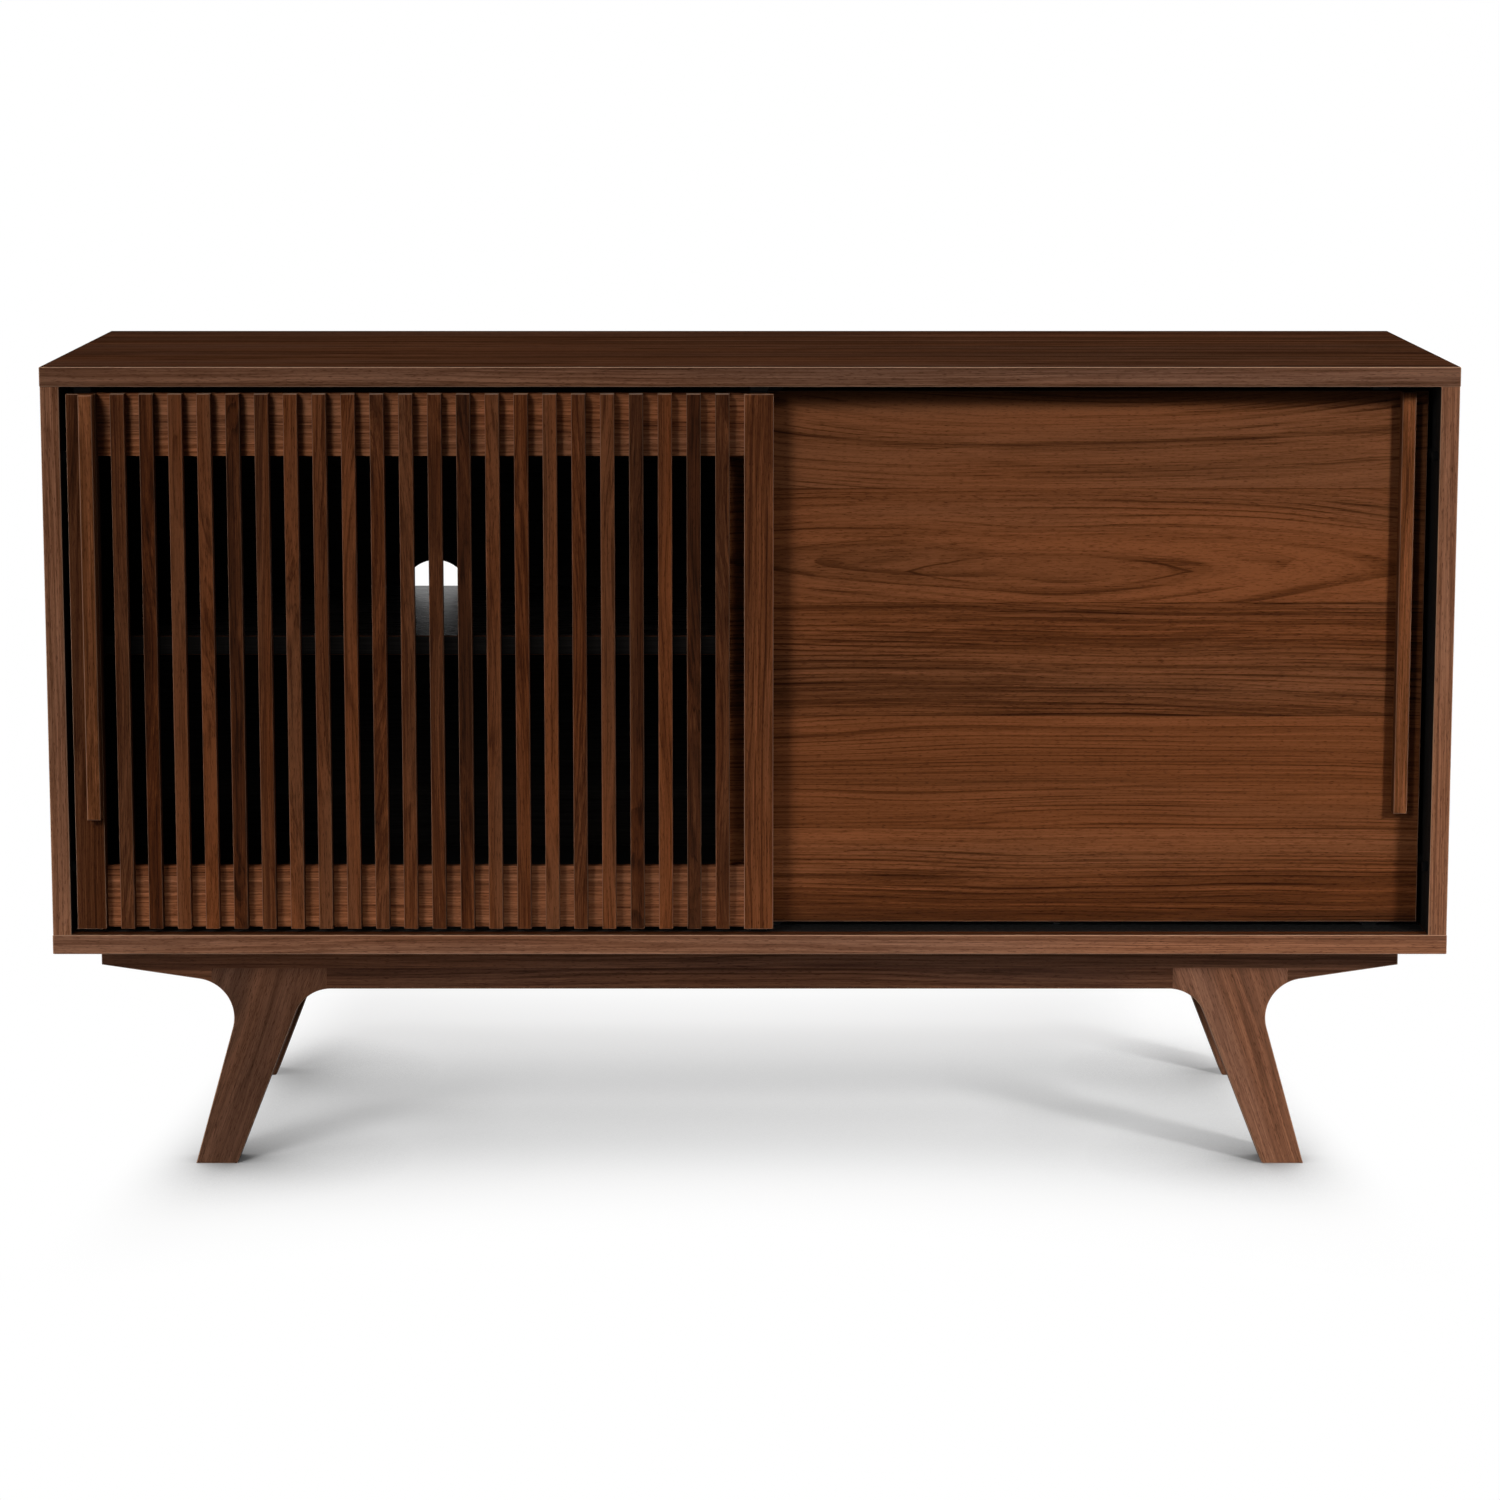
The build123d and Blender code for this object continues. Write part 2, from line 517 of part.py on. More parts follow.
def slatted_door():
    """Two stiles, two rails tenoned between them, and slats glued over the rails."""
    left, right = SLATTED_X
    stile_limits = {"outer": (left, left + STILE_WIDTH), "inner": (right - STILE_WIDTH, right)}
    opening = (stile_limits["outer"][1], stile_limits["inner"][0])
    rail_front = SLATTED_FRONT + SLAT_DEPTH
    tenon_middle = rail_front + DOOR_RAIL_DEPTH / 2
    tenon_depth = (tenon_middle - TENON_THICKNESS / 2, tenon_middle + TENON_THICKNESS / 2)
    handle_x = (left + HANDLE_INSET, left + HANDLE_INSET + HANDLE_WIDTH)
    thickness = SLATTED_BACK - SLATTED_FRONT
    screw_holes = handle_screws(handle_x, SLATTED_BACK, thickness, FIT_GAP)
    roller_places = [sum(limits) / 2 for limits in stile_limits.values()]

    tenon_x = (opening[0] - TENON_LENGTH, opening[1] + TENON_LENGTH)
    mortise_x = (tenon_x[0] - FIT_GAP, tenon_x[1] + FIT_GAP)
    pieces = {}
    mortises = []
    rail_heights = ((DOOR_BOTTOM, DOOR_BOTTOM + DOOR_RAIL_HEIGHT), (DOOR_TOP - DOOR_RAIL_HEIGHT, DOOR_TOP))
    for name, height, tenon_z in zip(("bottom", "top"), rail_heights, tenon_heights()):
        rail = board(opening, (rail_front, SLATTED_BACK), height)
        rail += board(tenon_x, tenon_depth, tenon_z)
        pieces[f"slatted_door_{name}_rail"] = rail - screw_holes
        mortises.append(board(mortise_x, tenon_depth, tenon_z))

    for name, limits in stile_limits.items():
        stile = board(limits, (SLATTED_FRONT, SLATTED_BACK), (DOOR_BOTTOM, DOOR_TOP))
        stile = fillet(stile.faces().sort_by(Axis.Y)[0].edges(), SLAT_EASE)
        middle = sum(limits) / 2
        seats = [roller_mortise(middle, FRONT_CHANNEL), guide_mortise(middle, FRONT_CHANNEL)]
        pieces[f"slatted_door_{name}_stile"] = stile - mortises - seats - screw_holes

    gap = (opening[1] - opening[0] - SLAT_COUNT * SLAT_WIDTH) / (SLAT_COUNT + 1)
    first = (opening[0] + gap, opening[0] + gap + SLAT_WIDTH)
    slat = board(first, (SLATTED_FRONT, rail_front), (DOOR_BOTTOM, DOOR_TOP))
    slat = fillet(slat.faces().sort_by(Axis.Y)[0].edges(), SLAT_EASE)
    pieces["slatted_door_slats"] = [Pos(i * (gap + SLAT_WIDTH), 0, 0) * slat for i in range(SLAT_COUNT)]

    pieces["slatted_door_handle"] = handle(handle_x, SLATTED_FRONT) - screw_holes
    pieces["slatted_door_handle_screws"] = handle_screws(handle_x, SLATTED_BACK, thickness)
    pieces.update(door_hardware("slatted_door", roller_places, FRONT_CHANNEL))
    return pieces


def solid_door():
    """One flat panel with its grain across, on rollers let into its bottom edge."""
    left, right = SOLID_X
    handle_x = (right - HANDLE_INSET - HANDLE_WIDTH, right - HANDLE_INSET)
    screw_holes = handle_screws(handle_x, SOLID_BACK, SOLID_DOOR_THICKNESS, FIT_GAP)
    places = (right - SOLID_DOOR_ROLLER_INSET, left + SOLID_DOOR_ROLLER_INSET)
    panel = board(SOLID_X, (SOLID_FRONT, SOLID_BACK), (DOOR_BOTTOM, DOOR_TOP))
    panel = fillet(panel.faces().filter_by(Axis.Y).edges(), SOLID_DOOR_EASE)
    for x in places:
        panel -= [roller_mortise(x, REAR_CHANNEL), guide_mortise(x, REAR_CHANNEL)]
    pieces = {
        "solid_door_panel": panel - screw_holes,
        "solid_door_handle": handle(handle_x, SOLID_FRONT) - screw_holes,
        "solid_door_handle_screws": handle_screws(handle_x, SOLID_BACK, SOLID_DOOR_THICKNESS),
    }
    pieces.update(door_hardware("solid_door", places, REAR_CHANNEL))
    return pieces


def frame_outline():
    """Front view of a leg frame: rail, tapered wings and splayed legs in one flowing line."""
    right = [
        (RAIL_END, BASE_HEIGHT),
        (RAIL_END, WING_TIP_Z),
        (OUTER_CORNER_X, OUTER_CORNER_Z),
        (FOOT_OUTER, 0),
        (FOOT_INNER, 0),
        (INNER_CORNER_X, STRETCHER_BOTTOM),
    ]
    left = [(-x, z) for x, z in reversed(right)]
    outline = make_face(Polyline(*right, *left, close=True))
    rounds = (
        ((OUTER_CORNER_X, OUTER_CORNER_Z), LEG_OUTER_FILLET),
        ((INNER_CORNER_X, STRETCHER_BOTTOM), LEG_INNER_FILLET),
        ((FOOT_INNER, 0), FOOT_ROUND),
    )
    for (x, z), radius in rounds:
        for hand in (-1, 1):
            corner = outline.vertices().sort_by_distance((hand * x, z, 0))[0]
            outline = fillet(corner, radius)
    return outline


def shaped_frame(depth):
    """A whole leg frame with its edges eased, before it is parted at the glue lines."""
    frame = extrude(Plane.XZ.offset(-CASE_FRONT_Y - depth[0]) * frame_outline(), -FRAME_THICKNESS)
    edges = frame.faces().filter_by(Axis.Y).edges()
    eased = edges.filter_by(lambda edge: edge.center().Z < BASE_HEIGHT - FRAME_EASE)
    return fillet(eased, FRAME_EASE)


def base_dowel_joints():
    """Dowels from the legs up into the rails, and from the rails into the cross rails."""
    leg_sizes = (LEG_DOWEL_IN_LEG, LEG_DOWEL_IN_RAIL)
    cross_sizes = (CROSS_DOWEL_IN_FRAME, CROSS_DOWEL_IN_RAIL)
    rail_middle = BASE_HEIGHT - RAIL_HEIGHT / 2
    joints = []
    for hand in (-1, 1):
        for side in (-0.5, 0.5):
            leg_x = hand * BLANK_MIDDLE + side * LEG_DOWEL_SPACING
            cross_x = hand * BLANK_MIDDLE + side * CROSS_DOWEL_SPACING
            for depth in (FRONT_FRAME, REAR_FRAME):
                joint = point(leg_x, sum(depth) / 2, RAIL_BOTTOM)
                joints.append(dowel_joint(BASE_DOWEL_RADIUS, joint, UP, *leg_sizes))
            for depth, direction in ((FRONT_FRAME[1], TO_BACK), (REAR_FRAME[0], TO_FRONT)):
                joint = point(cross_x, depth, rail_middle)
                joints.append(dowel_joint(BASE_DOWEL_RADIUS, joint, direction, *cross_sizes))
    return joints


def bolt_places():
    """Where the base is bolted to the case: through the stretchers and the cross rails."""
    places = []
    for hand in (-1, 1):
        places += [(hand * STRETCHER_BOLT_X, sum(depth) / 2) for depth in (FRONT_FRAME, REAR_FRAME)]
        cross_depths = (FRONT_FRAME[1] + CROSS_BOLT_INSET, REAR_FRAME[0] - CROSS_BOLT_INSET)
        places += [(hand * BLANK_MIDDLE, depth) for depth in cross_depths]
    return places


def base_bolt(x, depth):
    length = RAIL_HEIGHT + BOLT_IN_INSERT
    profile = [
        (0, -BOLT_HEAD_HEIGHT),
        (BOLT_HEAD_RADIUS, -BOLT_HEAD_HEIGHT),
        (BOLT_HEAD_RADIUS, 0),
        (BOLT_RADIUS, 0),
        (BOLT_RADIUS, length),
        (0, length),
    ]
    return turned(profile, point(x, depth, RAIL_BOTTOM), UP)


def base_insert(x, depth):
    start = point(x, depth, BASE_HEIGHT)
    bore = rod(BOLT_RADIUS + FIT_GAP, start, UP, INSERT_LENGTH)
    return rod(INSERT_RADIUS, start, UP, INSERT_LENGTH) - bore


def insert_hole(x, depth):
    return rod(INSERT_RADIUS + FIT_GAP, point(x, depth, BASE_HEIGHT), UP, INSERT_LENGTH + FIT_GAP)


def leg_frame(end, depth, holes):
    """One leg frame, front or rear, parted into its rail, stretcher, legs and wings."""
    frame = shaped_frame(depth)
    reach = (depth[0], depth[1])
    whole = (-RAIL_END, RAIL_END)
    rail = frame & board(whole, reach, (RAIL_BOTTOM, BASE_HEIGHT))
    stretcher = frame & board((-BLANK_INNER, BLANK_INNER), reach, (STRETCHER_BOTTOM, RAIL_BOTTOM))
    for x in (-STRETCHER_BOLT_X, STRETCHER_BOLT_X):
        start = point(x, sum(depth) / 2, STRETCHER_BOTTOM)
        stretcher -= rod(BOLT_ACCESS_RADIUS, start, UP, STRETCHER_HEIGHT)
    pieces = {f"{end}_top_rail": rail - holes, f"{end}_stretcher": stretcher}
    wing_floor = OUTER_CORNER_Z - LEG_OUTER_FILLET
    for name, hand in (("left", -1), ("right", 1)):
        wing_x = sorted((hand * BLANK_OUTER, hand * RAIL_END))
        leg_x = sorted((hand * BLANK_INNER, hand * RAIL_END))
        wing_blank = board(wing_x, reach, (wing_floor, RAIL_BOTTOM))
        leg_blank = board(leg_x, reach, (0, RAIL_BOTTOM)) - wing_blank
        pieces[f"{end}_{name}_wing"] = frame & wing_blank
        pieces[f"{end}_{name}_leg"] = (frame & leg_blank) - holes
    return pieces


def base():
    joints = base_dowel_joints()
    dowel_holes = [hole for _, hole in joints]
    places = bolt_places()
    bolt_radius = BOLT_RADIUS + BOLT_CLEARANCE
    bolt_holes = [rod(bolt_radius, point(x, depth, RAIL_BOTTOM), UP, RAIL_HEIGHT) for x, depth in places]
    holes = dowel_holes + bolt_holes
    pieces = leg_frame("front", FRONT_FRAME, holes)
    pieces.update(leg_frame("rear", REAR_FRAME, holes))
    for name, hand in (("left", -1), ("right", 1)):
        middle = hand * BLANK_MIDDLE
        limits = (middle - CROSS_RAIL_WIDTH / 2, middle + CROSS_RAIL_WIDTH / 2)
        cross = board(limits, (FRONT_FRAME[1], REAR_FRAME[0]), (RAIL_BOTTOM, BASE_HEIGHT))
        lower = cross.edges().filter_by(Axis.Y).group_by(Axis.Z)[0]
        pieces[f"{name}_cross_rail"] = fillet(lower, FRAME_EASE) - holes
    pieces["base_dowels"] = [peg for peg, _ in joints]
    pieces["base_bolts"] = [base_bolt(x, depth) for x, depth in places]
    pieces["base_inserts"] = [base_insert(x, depth) for x, depth in places]
    return pieces


def cabinet():
    """Every piece of the cabinet by its name; a list is a group of like pieces."""
    case_joints = case_dowel_joints()
    dowel_holes = [hole for _, hole in case_joints]
    insert_holes = [insert_hole(x, depth) for x, depth in bolt_places()]
    bottom_track, top_track = tracks()
    screw_holes = track_screws(FIT_GAP)
    pieces = case_boards(dowel_holes, insert_holes)
    pieces.update(back_panels())
    pieces.update(shelves())
    pieces["shelf_pins"] = shelf_pins()
    pieces["bottom_track"] = bottom_track - screw_holes
    pieces["top_track"] = top_track - screw_holes
    pieces["track_screws"] = track_screws()
    pieces["door_bumpers"] = door_bumpers()
    pieces["case_dowels"] = [peg for peg, _ in case_joints]
    pieces["back_screws"] = back_screws()
    pieces.update(base())
    pieces.update(slatted_door())
    pieces.update(solid_door())
    return pieces


os.makedirs("parts", exist_ok=True)
for node, piece in cabinet().items():
    solids = piece if isinstance(piece, list) else [piece]
    bodies = [solid for shape in solids for solid in shape.solids()]
    export_step(Compound(bodies), f"parts/{node}.step")
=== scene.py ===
from math import pi, radians

import bpy
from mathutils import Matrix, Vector


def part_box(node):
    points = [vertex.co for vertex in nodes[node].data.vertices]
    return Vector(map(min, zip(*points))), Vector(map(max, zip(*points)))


# Finish, light and camera for a walnut media cabinet with a slatted and a plain sliding door.
# Metres, in the frame of the solids: +X to the right, the front faces -Y, +Z up.

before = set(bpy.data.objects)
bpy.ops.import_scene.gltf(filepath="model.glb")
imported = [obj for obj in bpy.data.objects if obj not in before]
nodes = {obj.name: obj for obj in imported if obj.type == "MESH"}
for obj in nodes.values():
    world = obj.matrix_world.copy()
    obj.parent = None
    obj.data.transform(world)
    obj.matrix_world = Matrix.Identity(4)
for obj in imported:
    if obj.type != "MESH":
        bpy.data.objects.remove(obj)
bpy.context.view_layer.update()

# Places read from the solids
FRONT_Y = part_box("top_panel")[0].y
BACK_PANEL_FRONT_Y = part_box("left_back_panel")[0].y
BACK_PANEL_BACK_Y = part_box("left_back_panel")[1].y
TRACK_BACK_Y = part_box("bottom_track")[1].y
SIDE_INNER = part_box("right_side")[0].x
CASE_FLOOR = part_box("left_side")[0].z
CASE_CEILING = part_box("left_side")[1].z
SLATS_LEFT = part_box("slatted_door_slats")[0].x
SLATS_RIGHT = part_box("slatted_door_slats")[1].x

# Sizes of what the finish follows
SLAT_COUNT = 22
SLAT_WIDTH = 0.0134
SLAT_PITCH = (SLATS_RIGHT - SLATS_LEFT - SLAT_WIDTH) / (SLAT_COUNT - 1)
LEG_LEAN = radians(18.5)
FACE_MARGIN = 0.0006
ARRIS = 0.0015  # depth of the eased front edges

# Parts of the normal that tell faces from edges
BOARD_EDGES = (0.97, 0.85)  # the largest part, from a flat face to a rounded edge
LEG_EDGES = (0.90, 0.78)  # the legs' own faces lean up to 0.93, so only rounder places count as edges
UPWARD = (0.5, 0.95)  # the upward part, from a leaning face to one that looks up

# The plain door's veneer, laid up from strips
VENEER_STRIP = 0.1105
VENEER_FIRST_SEAM = 0.3356
SEAM_LINE = (0.008, 0.002)  # in strips, from beside a seam to the seam itself
LOWEST_STRIP = (0.243, 0.325)  # painted shade on the lowest strip, from its dark bottom edge to its lighter upper part
LOWEST_PAINTED_SHADE = (-0.24, 0.12)
STRIP_CHARACTER = (0.618, 0.05)  # step and start of the series that tells the strips apart
STRIP_CONTRAST = (0.45, 0.75)  # how the contrast grows with that character, and its least
STRIP_HUE = -0.25
STRIP_SHADE = 0.22
DOOR_LIGHTNESS = 0.95
DOOR_CONTRAST = 0.85
DOOR_HUE = (0.52, 0.8)  # middle and swing
DOOR_BEND = 0.034
DOOR_LINES = -0.2  # tone of the seams and of the line round the heart
DOOR_RINGS = -0.16

# The heart, round which the rings close
HEART_STRIP = 2  # counted from the first seam
HEART_PLACE = (0.29, 0.587)  # X and Z
HEART_STEP = VENEER_STRIP + 0.15  # each next strip's heart lies further out of it
HEART_FLATNESS = 0.12
HEART_DEPTH = 0.030  # how far under the face the rings' axis runs
HEART_HALF = (0.138, 0.017)  # half the length and height of the dark line round it
HEART_LINE = (0.09, 0.02)  # from beside that line to the line itself
HEART_LINE_STRENGTH = 1.5
HEART_LINE_BELOW = 0.45
HEART_LINE_MIDDLE = 0.3
HEART_LINE_ENDS = (0.35, 0.85)
HEART_WANDER = (0.03, 0.09)
HEART_WANDER_SWING = 0.5

# Features of the grain, as (width across it, length along it)
BAND = (0.016, 3.0)
LINE = (0.0036, 3.0)
FIBRE = (0.0010, 0.06)
PORE = (0.0006, 0.007)
VEIN = (0.011, 2.0)
HUE = (0.05, 0.6)
SWAY = (0.10, 0.55)  # bends of the flow
VEIN_PATCH = (0.03, 0.25)  # where veins show
RING_PATCH = (0.025, 0.3)  # where rings show
RING_DRIFT = (0.02, 1.0)  # where rings crowd

# How those features are drawn
RING_WIDTH = 0.0055
RING_LEAN = 0.3  # how far the rings lean into the board
RING_CROWDING = 4.0  # in rings
RING_DARKENS = (0.55, 0.93)  # from early to late wood, in the course of a ring
RING_ENDS = (1.0, 0.95)
RING_SHOWS = (0.35, 0.65)
VEIN_LINE = (0.018, 0.0)
VEIN_SHOWS = (0.40, 0.60)
PORE_SHOWS = (0.58, 0.70)
BAND_WEIGHT = 0.7
LINE_WEIGHT = 1.3
FIBRE_WEIGHT = 0.9
DARK_WEIGHT = -0.22  # of rings and veins
RELIEF_WEIGHT = 0.6  # of fibres, and of pores the other way
BOARD_JUMP = (0.37, 0.71, 0.53)  # step through the figure from one strip or slat to the next
PLAIN_BEND = 0.022

# Finish of the wood, with the painted highlight on its eased edges
WEAR_AND_HIGHLIGHT = 0.7  # how far the eased edges are worn to the paler tone, which is also a painted highlight
CASE_WEAR_AND_HIGHLIGHT = 0.9
DRIFT = 0.6  # how much the hue drifts
HUE_SPAN = (0.32, 0.68)
FIELD_SPAN = (0.3, 0.7)  # where most of a noise field lies
WOOD_SPECULAR = 0.04
WOOD_ROUGHNESS = (0.50, 0.66)
WOOD_RELIEF = 0.00018
INSIDE_SPECULAR = 0.03
INSIDE_ROUGHNESS = (0.36, 0.48)
INSIDE_RELIEF = 0.00005
SHELF_POLISH = 0.16  # how much smoother the boards' upper faces are

# Finish of single pieces; their wear also sets the painted highlight on their edges
LEG_BEND = 0.09
LEG_COARSENESS = 2.8
LEG_CONTRAST = 0.6
SLAT_BEND = 0.11
SLAT_SHADE = 0.5
SLAT_WEAR_AND_HIGHLIGHT = 0.3
SLAT_DRIFT = 1.0
STILE_BEND = 0.05
HANDLE_BEND = 0.08
HANDLE_WEAR_AND_HIGHLIGHT = 0.35

# Finish of plastic, rubber and metal
MOULDED_PALE = 1.6
MOULDED_GLOSS = (-0.06, 0.08)
MOULDED_RELIEF = 0.00006
METAL_DULL = 0.7
METAL_GLOSS = (-0.08, 0.10)
METAL_RELIEF = 0.00003
METAL_LINE = 0.0008
TRACK_BLACK = (0.006, 0.006, 0.006)
DEEP_BLACK = (0.003, 0.003, 0.003)
STEEL = (0.58, 0.57, 0.55)
BRASS = (0.66, 0.47, 0.20)

# Turns that bring each grain direction onto the X axis
GRAIN_X = (0, 0, 0)
GRAIN_Y = (0, 0, -pi / 2)
GRAIN_Z = (0, pi / 2, 0)
GRAIN_LEFT_LEG = (0, pi / 2 - LEG_LEAN, 0)
GRAIN_RIGHT_LEG = (0, pi / 2 + LEG_LEAN, 0)


def shaded(tones, factor):
    """The same wood, lighter or darker."""
    return tuple(tuple(factor * channel for channel in tone) for tone in tones)


# Walnut tones, as (dark, middle, light)
TONE_PLACES = (0.1, 0.5, 0.9)
# the top face is darker than the other boards: partly its own tone, partly painted shade
SHADED_TOP_TONES = ((0.0100, 0.0035, 0.0017), (0.0295, 0.0114, 0.0052), (0.082, 0.0330, 0.0165))
EDGE_TONES = ((0.055, 0.0215, 0.0105), (0.105, 0.0450, 0.0230), (0.200, 0.0960, 0.0540))
DOOR_TONES = ((0.018, 0.0053, 0.0019), (0.070, 0.0224, 0.0073), (0.162, 0.0570, 0.0210))
RAIL_TONES = ((0.043, 0.0150, 0.0065), (0.135, 0.0480, 0.0195), (0.285, 0.1130, 0.0510))
SLAT_TONES = ((0.014, 0.0045, 0.0018), (0.054, 0.0170, 0.0060), (0.130, 0.0450, 0.0170))
BASE_TONES = ((0.031, 0.0123, 0.0065), (0.077, 0.0328, 0.0175), (0.160, 0.0710, 0.0385))
LEG_TONES = ((0.026, 0.0110, 0.0062), (0.076, 0.0345, 0.0192), (0.172, 0.0810, 0.0465))
INSIDE_TONES = ((0.0030, 0.0027, 0.0025), (0.0065, 0.0058, 0.0053), (0.0130, 0.0115, 0.0105))
BEECH_TONES = ((0.38, 0.22, 0.11), (0.50, 0.31, 0.17), (0.62, 0.42, 0.25))
PALE_EDGE_TONES = shaded(EDGE_TONES, 1.3)
OUTER_STILE_TONES = shaded(SLAT_TONES, 0.7)
INNER_STILE_TONES = shaded(SLAT_TONES, 1.25)
LEFT_HANDLE_TONES = shaded(DOOR_TONES, 1.45)
RIGHT_HANDLE_TONES = shaded(DOOR_TONES, 1.4)
# right legs lighter and left legs darker: partly their own tone, partly painted light stronger from the
# right
SHADED_LEFT_LEG_TONES = shaded(LEG_TONES, 0.76)
LIT_RIGHT_LEG_TONES = shaded(LEG_TONES, 1.48)
BASE_RAIL_TONES = shaded(BASE_TONES, 0.78)
STRETCHER_TONES = shaded(BASE_TONES, 0.57)
# paler tone of worn eased edges, also a painted highlight on them and on the slats' upper ends
WORN_AND_HIGHLIT_EDGE = (0.36, 0.215, 0.140, 1)
# the black boards' eased edges: a little wear and a painted highlight
SHELF_ARRIS_WEAR_AND_HIGHLIGHT = (0.060, 0.022, 0.010, 1)
REDDISH = (1.10, 0.97, 0.86, 1)
GREYISH = (0.90, 0.97, 1.10, 1)
PORE_TINT = (0.55, 0.50, 0.47, 1)


class Graph:
    """The nodes of a material or a world."""

    def __init__(self, owner):
        owner.use_nodes = True
        self.owner = owner
        self.tree = owner.node_tree
        self.tree.nodes.clear()

    def add(self, kind, inputs=None, **settings):
        """A node of one kind, with its settings and with its inputs fed by name or number."""
        made = self.tree.nodes.new(f"ShaderNode{kind}")
        for key, value in settings.items():
            setattr(made, key, value)
        for key, value in (inputs or {}).items():
            self.feed(made.inputs[key], value)
        return made

    def feed(self, socket, value):
        if isinstance(value, bpy.types.NodeSocket):
            self.tree.links.new(value, socket)
        else:
            socket.default_value = value

    def math(self, operation, *values):
        return self.add("Math", dict(enumerate(values)), operation=operation).outputs[0]

    def vector_math(self, operation, *values):
        return self.add("VectorMath", dict(enumerate(values)), operation=operation).outputs[0]

    def split(self, vector):
        return self.add("SeparateXYZ", {0: vector}).outputs

    def remap(self, value, source, target=(0.0, 1.0)):
        """A smooth step from one range to another, held at its ends."""
        limits = {"From Min": source[0], "From Max": source[1], "To Min": target[0], "To Max": target[1]}
        made = self.add("MapRange", {"Value": value, **limits}, interpolation_type="SMOOTHSTEP")
        return made.outputs[0]

    def mix(self, factor, first, second, blend="MIX"):
        """Two colours mixed by a factor."""
        made = self.add("Mix", {0: factor, 6: first, 7: second}, data_type="RGBA", blend_type=blend)
        return made.outputs[2]

    def tones(self, value, colours):
        """A colour from dark through middle to light."""
        made = self.add("ValToRGB", {0: value})
        ramp = made.color_ramp
        ramp.elements.new(0.5)
        for element, place, colour in zip(ramp.elements, TONE_PLACES, colours):
            element.position = place
            element.color = (*colour, 1)
        return made.outputs[0]

    def place(self):
        """Where a point lies in its solid, in metres."""
        return self.add("TexCoord").outputs["Object"]

    def field(self, space, size, detail=2.0, roughness=0.5, coarse=1.0):
        """Noise whose features have a width across the grain and a length along it."""
        across = size[0] * coarse
        scaled = self.vector_math("MULTIPLY", space, (1 / size[1], 1 / across, 1 / across))
        inputs = {"Vector": scaled, "Scale": 1.0, "Detail": detail, "Roughness": roughness}
        return self.add("TexNoise", inputs).outputs[0]

    def weighted(self, middle, *terms):
        """A value that swings about middle by (field, weight) terms."""
        value = middle - sum(weight for _, weight in terms) / 2
        for field, weight in terms:
            value = self.math("MULTIPLY_ADD", field, weight, value)
        return value

    def eased_edges(self, limits):
        """1 on rounded edges and 0 on the flat faces between them."""
        normal = self.vector_math("ABSOLUTE", self.add("NewGeometry").outputs["Normal"])
        x, y, z = self.split(normal)
        largest = self.math("MAXIMUM", self.math("MAXIMUM", x, y), z)
        return self.remap(largest, limits)

    def facing_up(self):
        """1 on the faces that look up."""
        _, _, up = self.split(self.add("NewGeometry").outputs["Normal"])
        return self.remap(up, UPWARD)

    def surface(self, colour, roughness, height, depth, metallic=0.0, specular=0.5):
        """The shader itself, with its bump, and the finished material."""
        bump = self.add("Bump", {"Strength": 1.0, "Distance": depth, "Height": height})
        inputs = {"Base Color": colour, "Roughness": roughness, "Metallic": metallic}
        inputs["Specular IOR Level"] = specular
        inputs["Normal"] = bump.outputs[0]
        shader = self.add("BsdfPrincipled", inputs)
        self.add("OutputMaterial", {"Surface": shader.outputs[0]})
        return self.owner


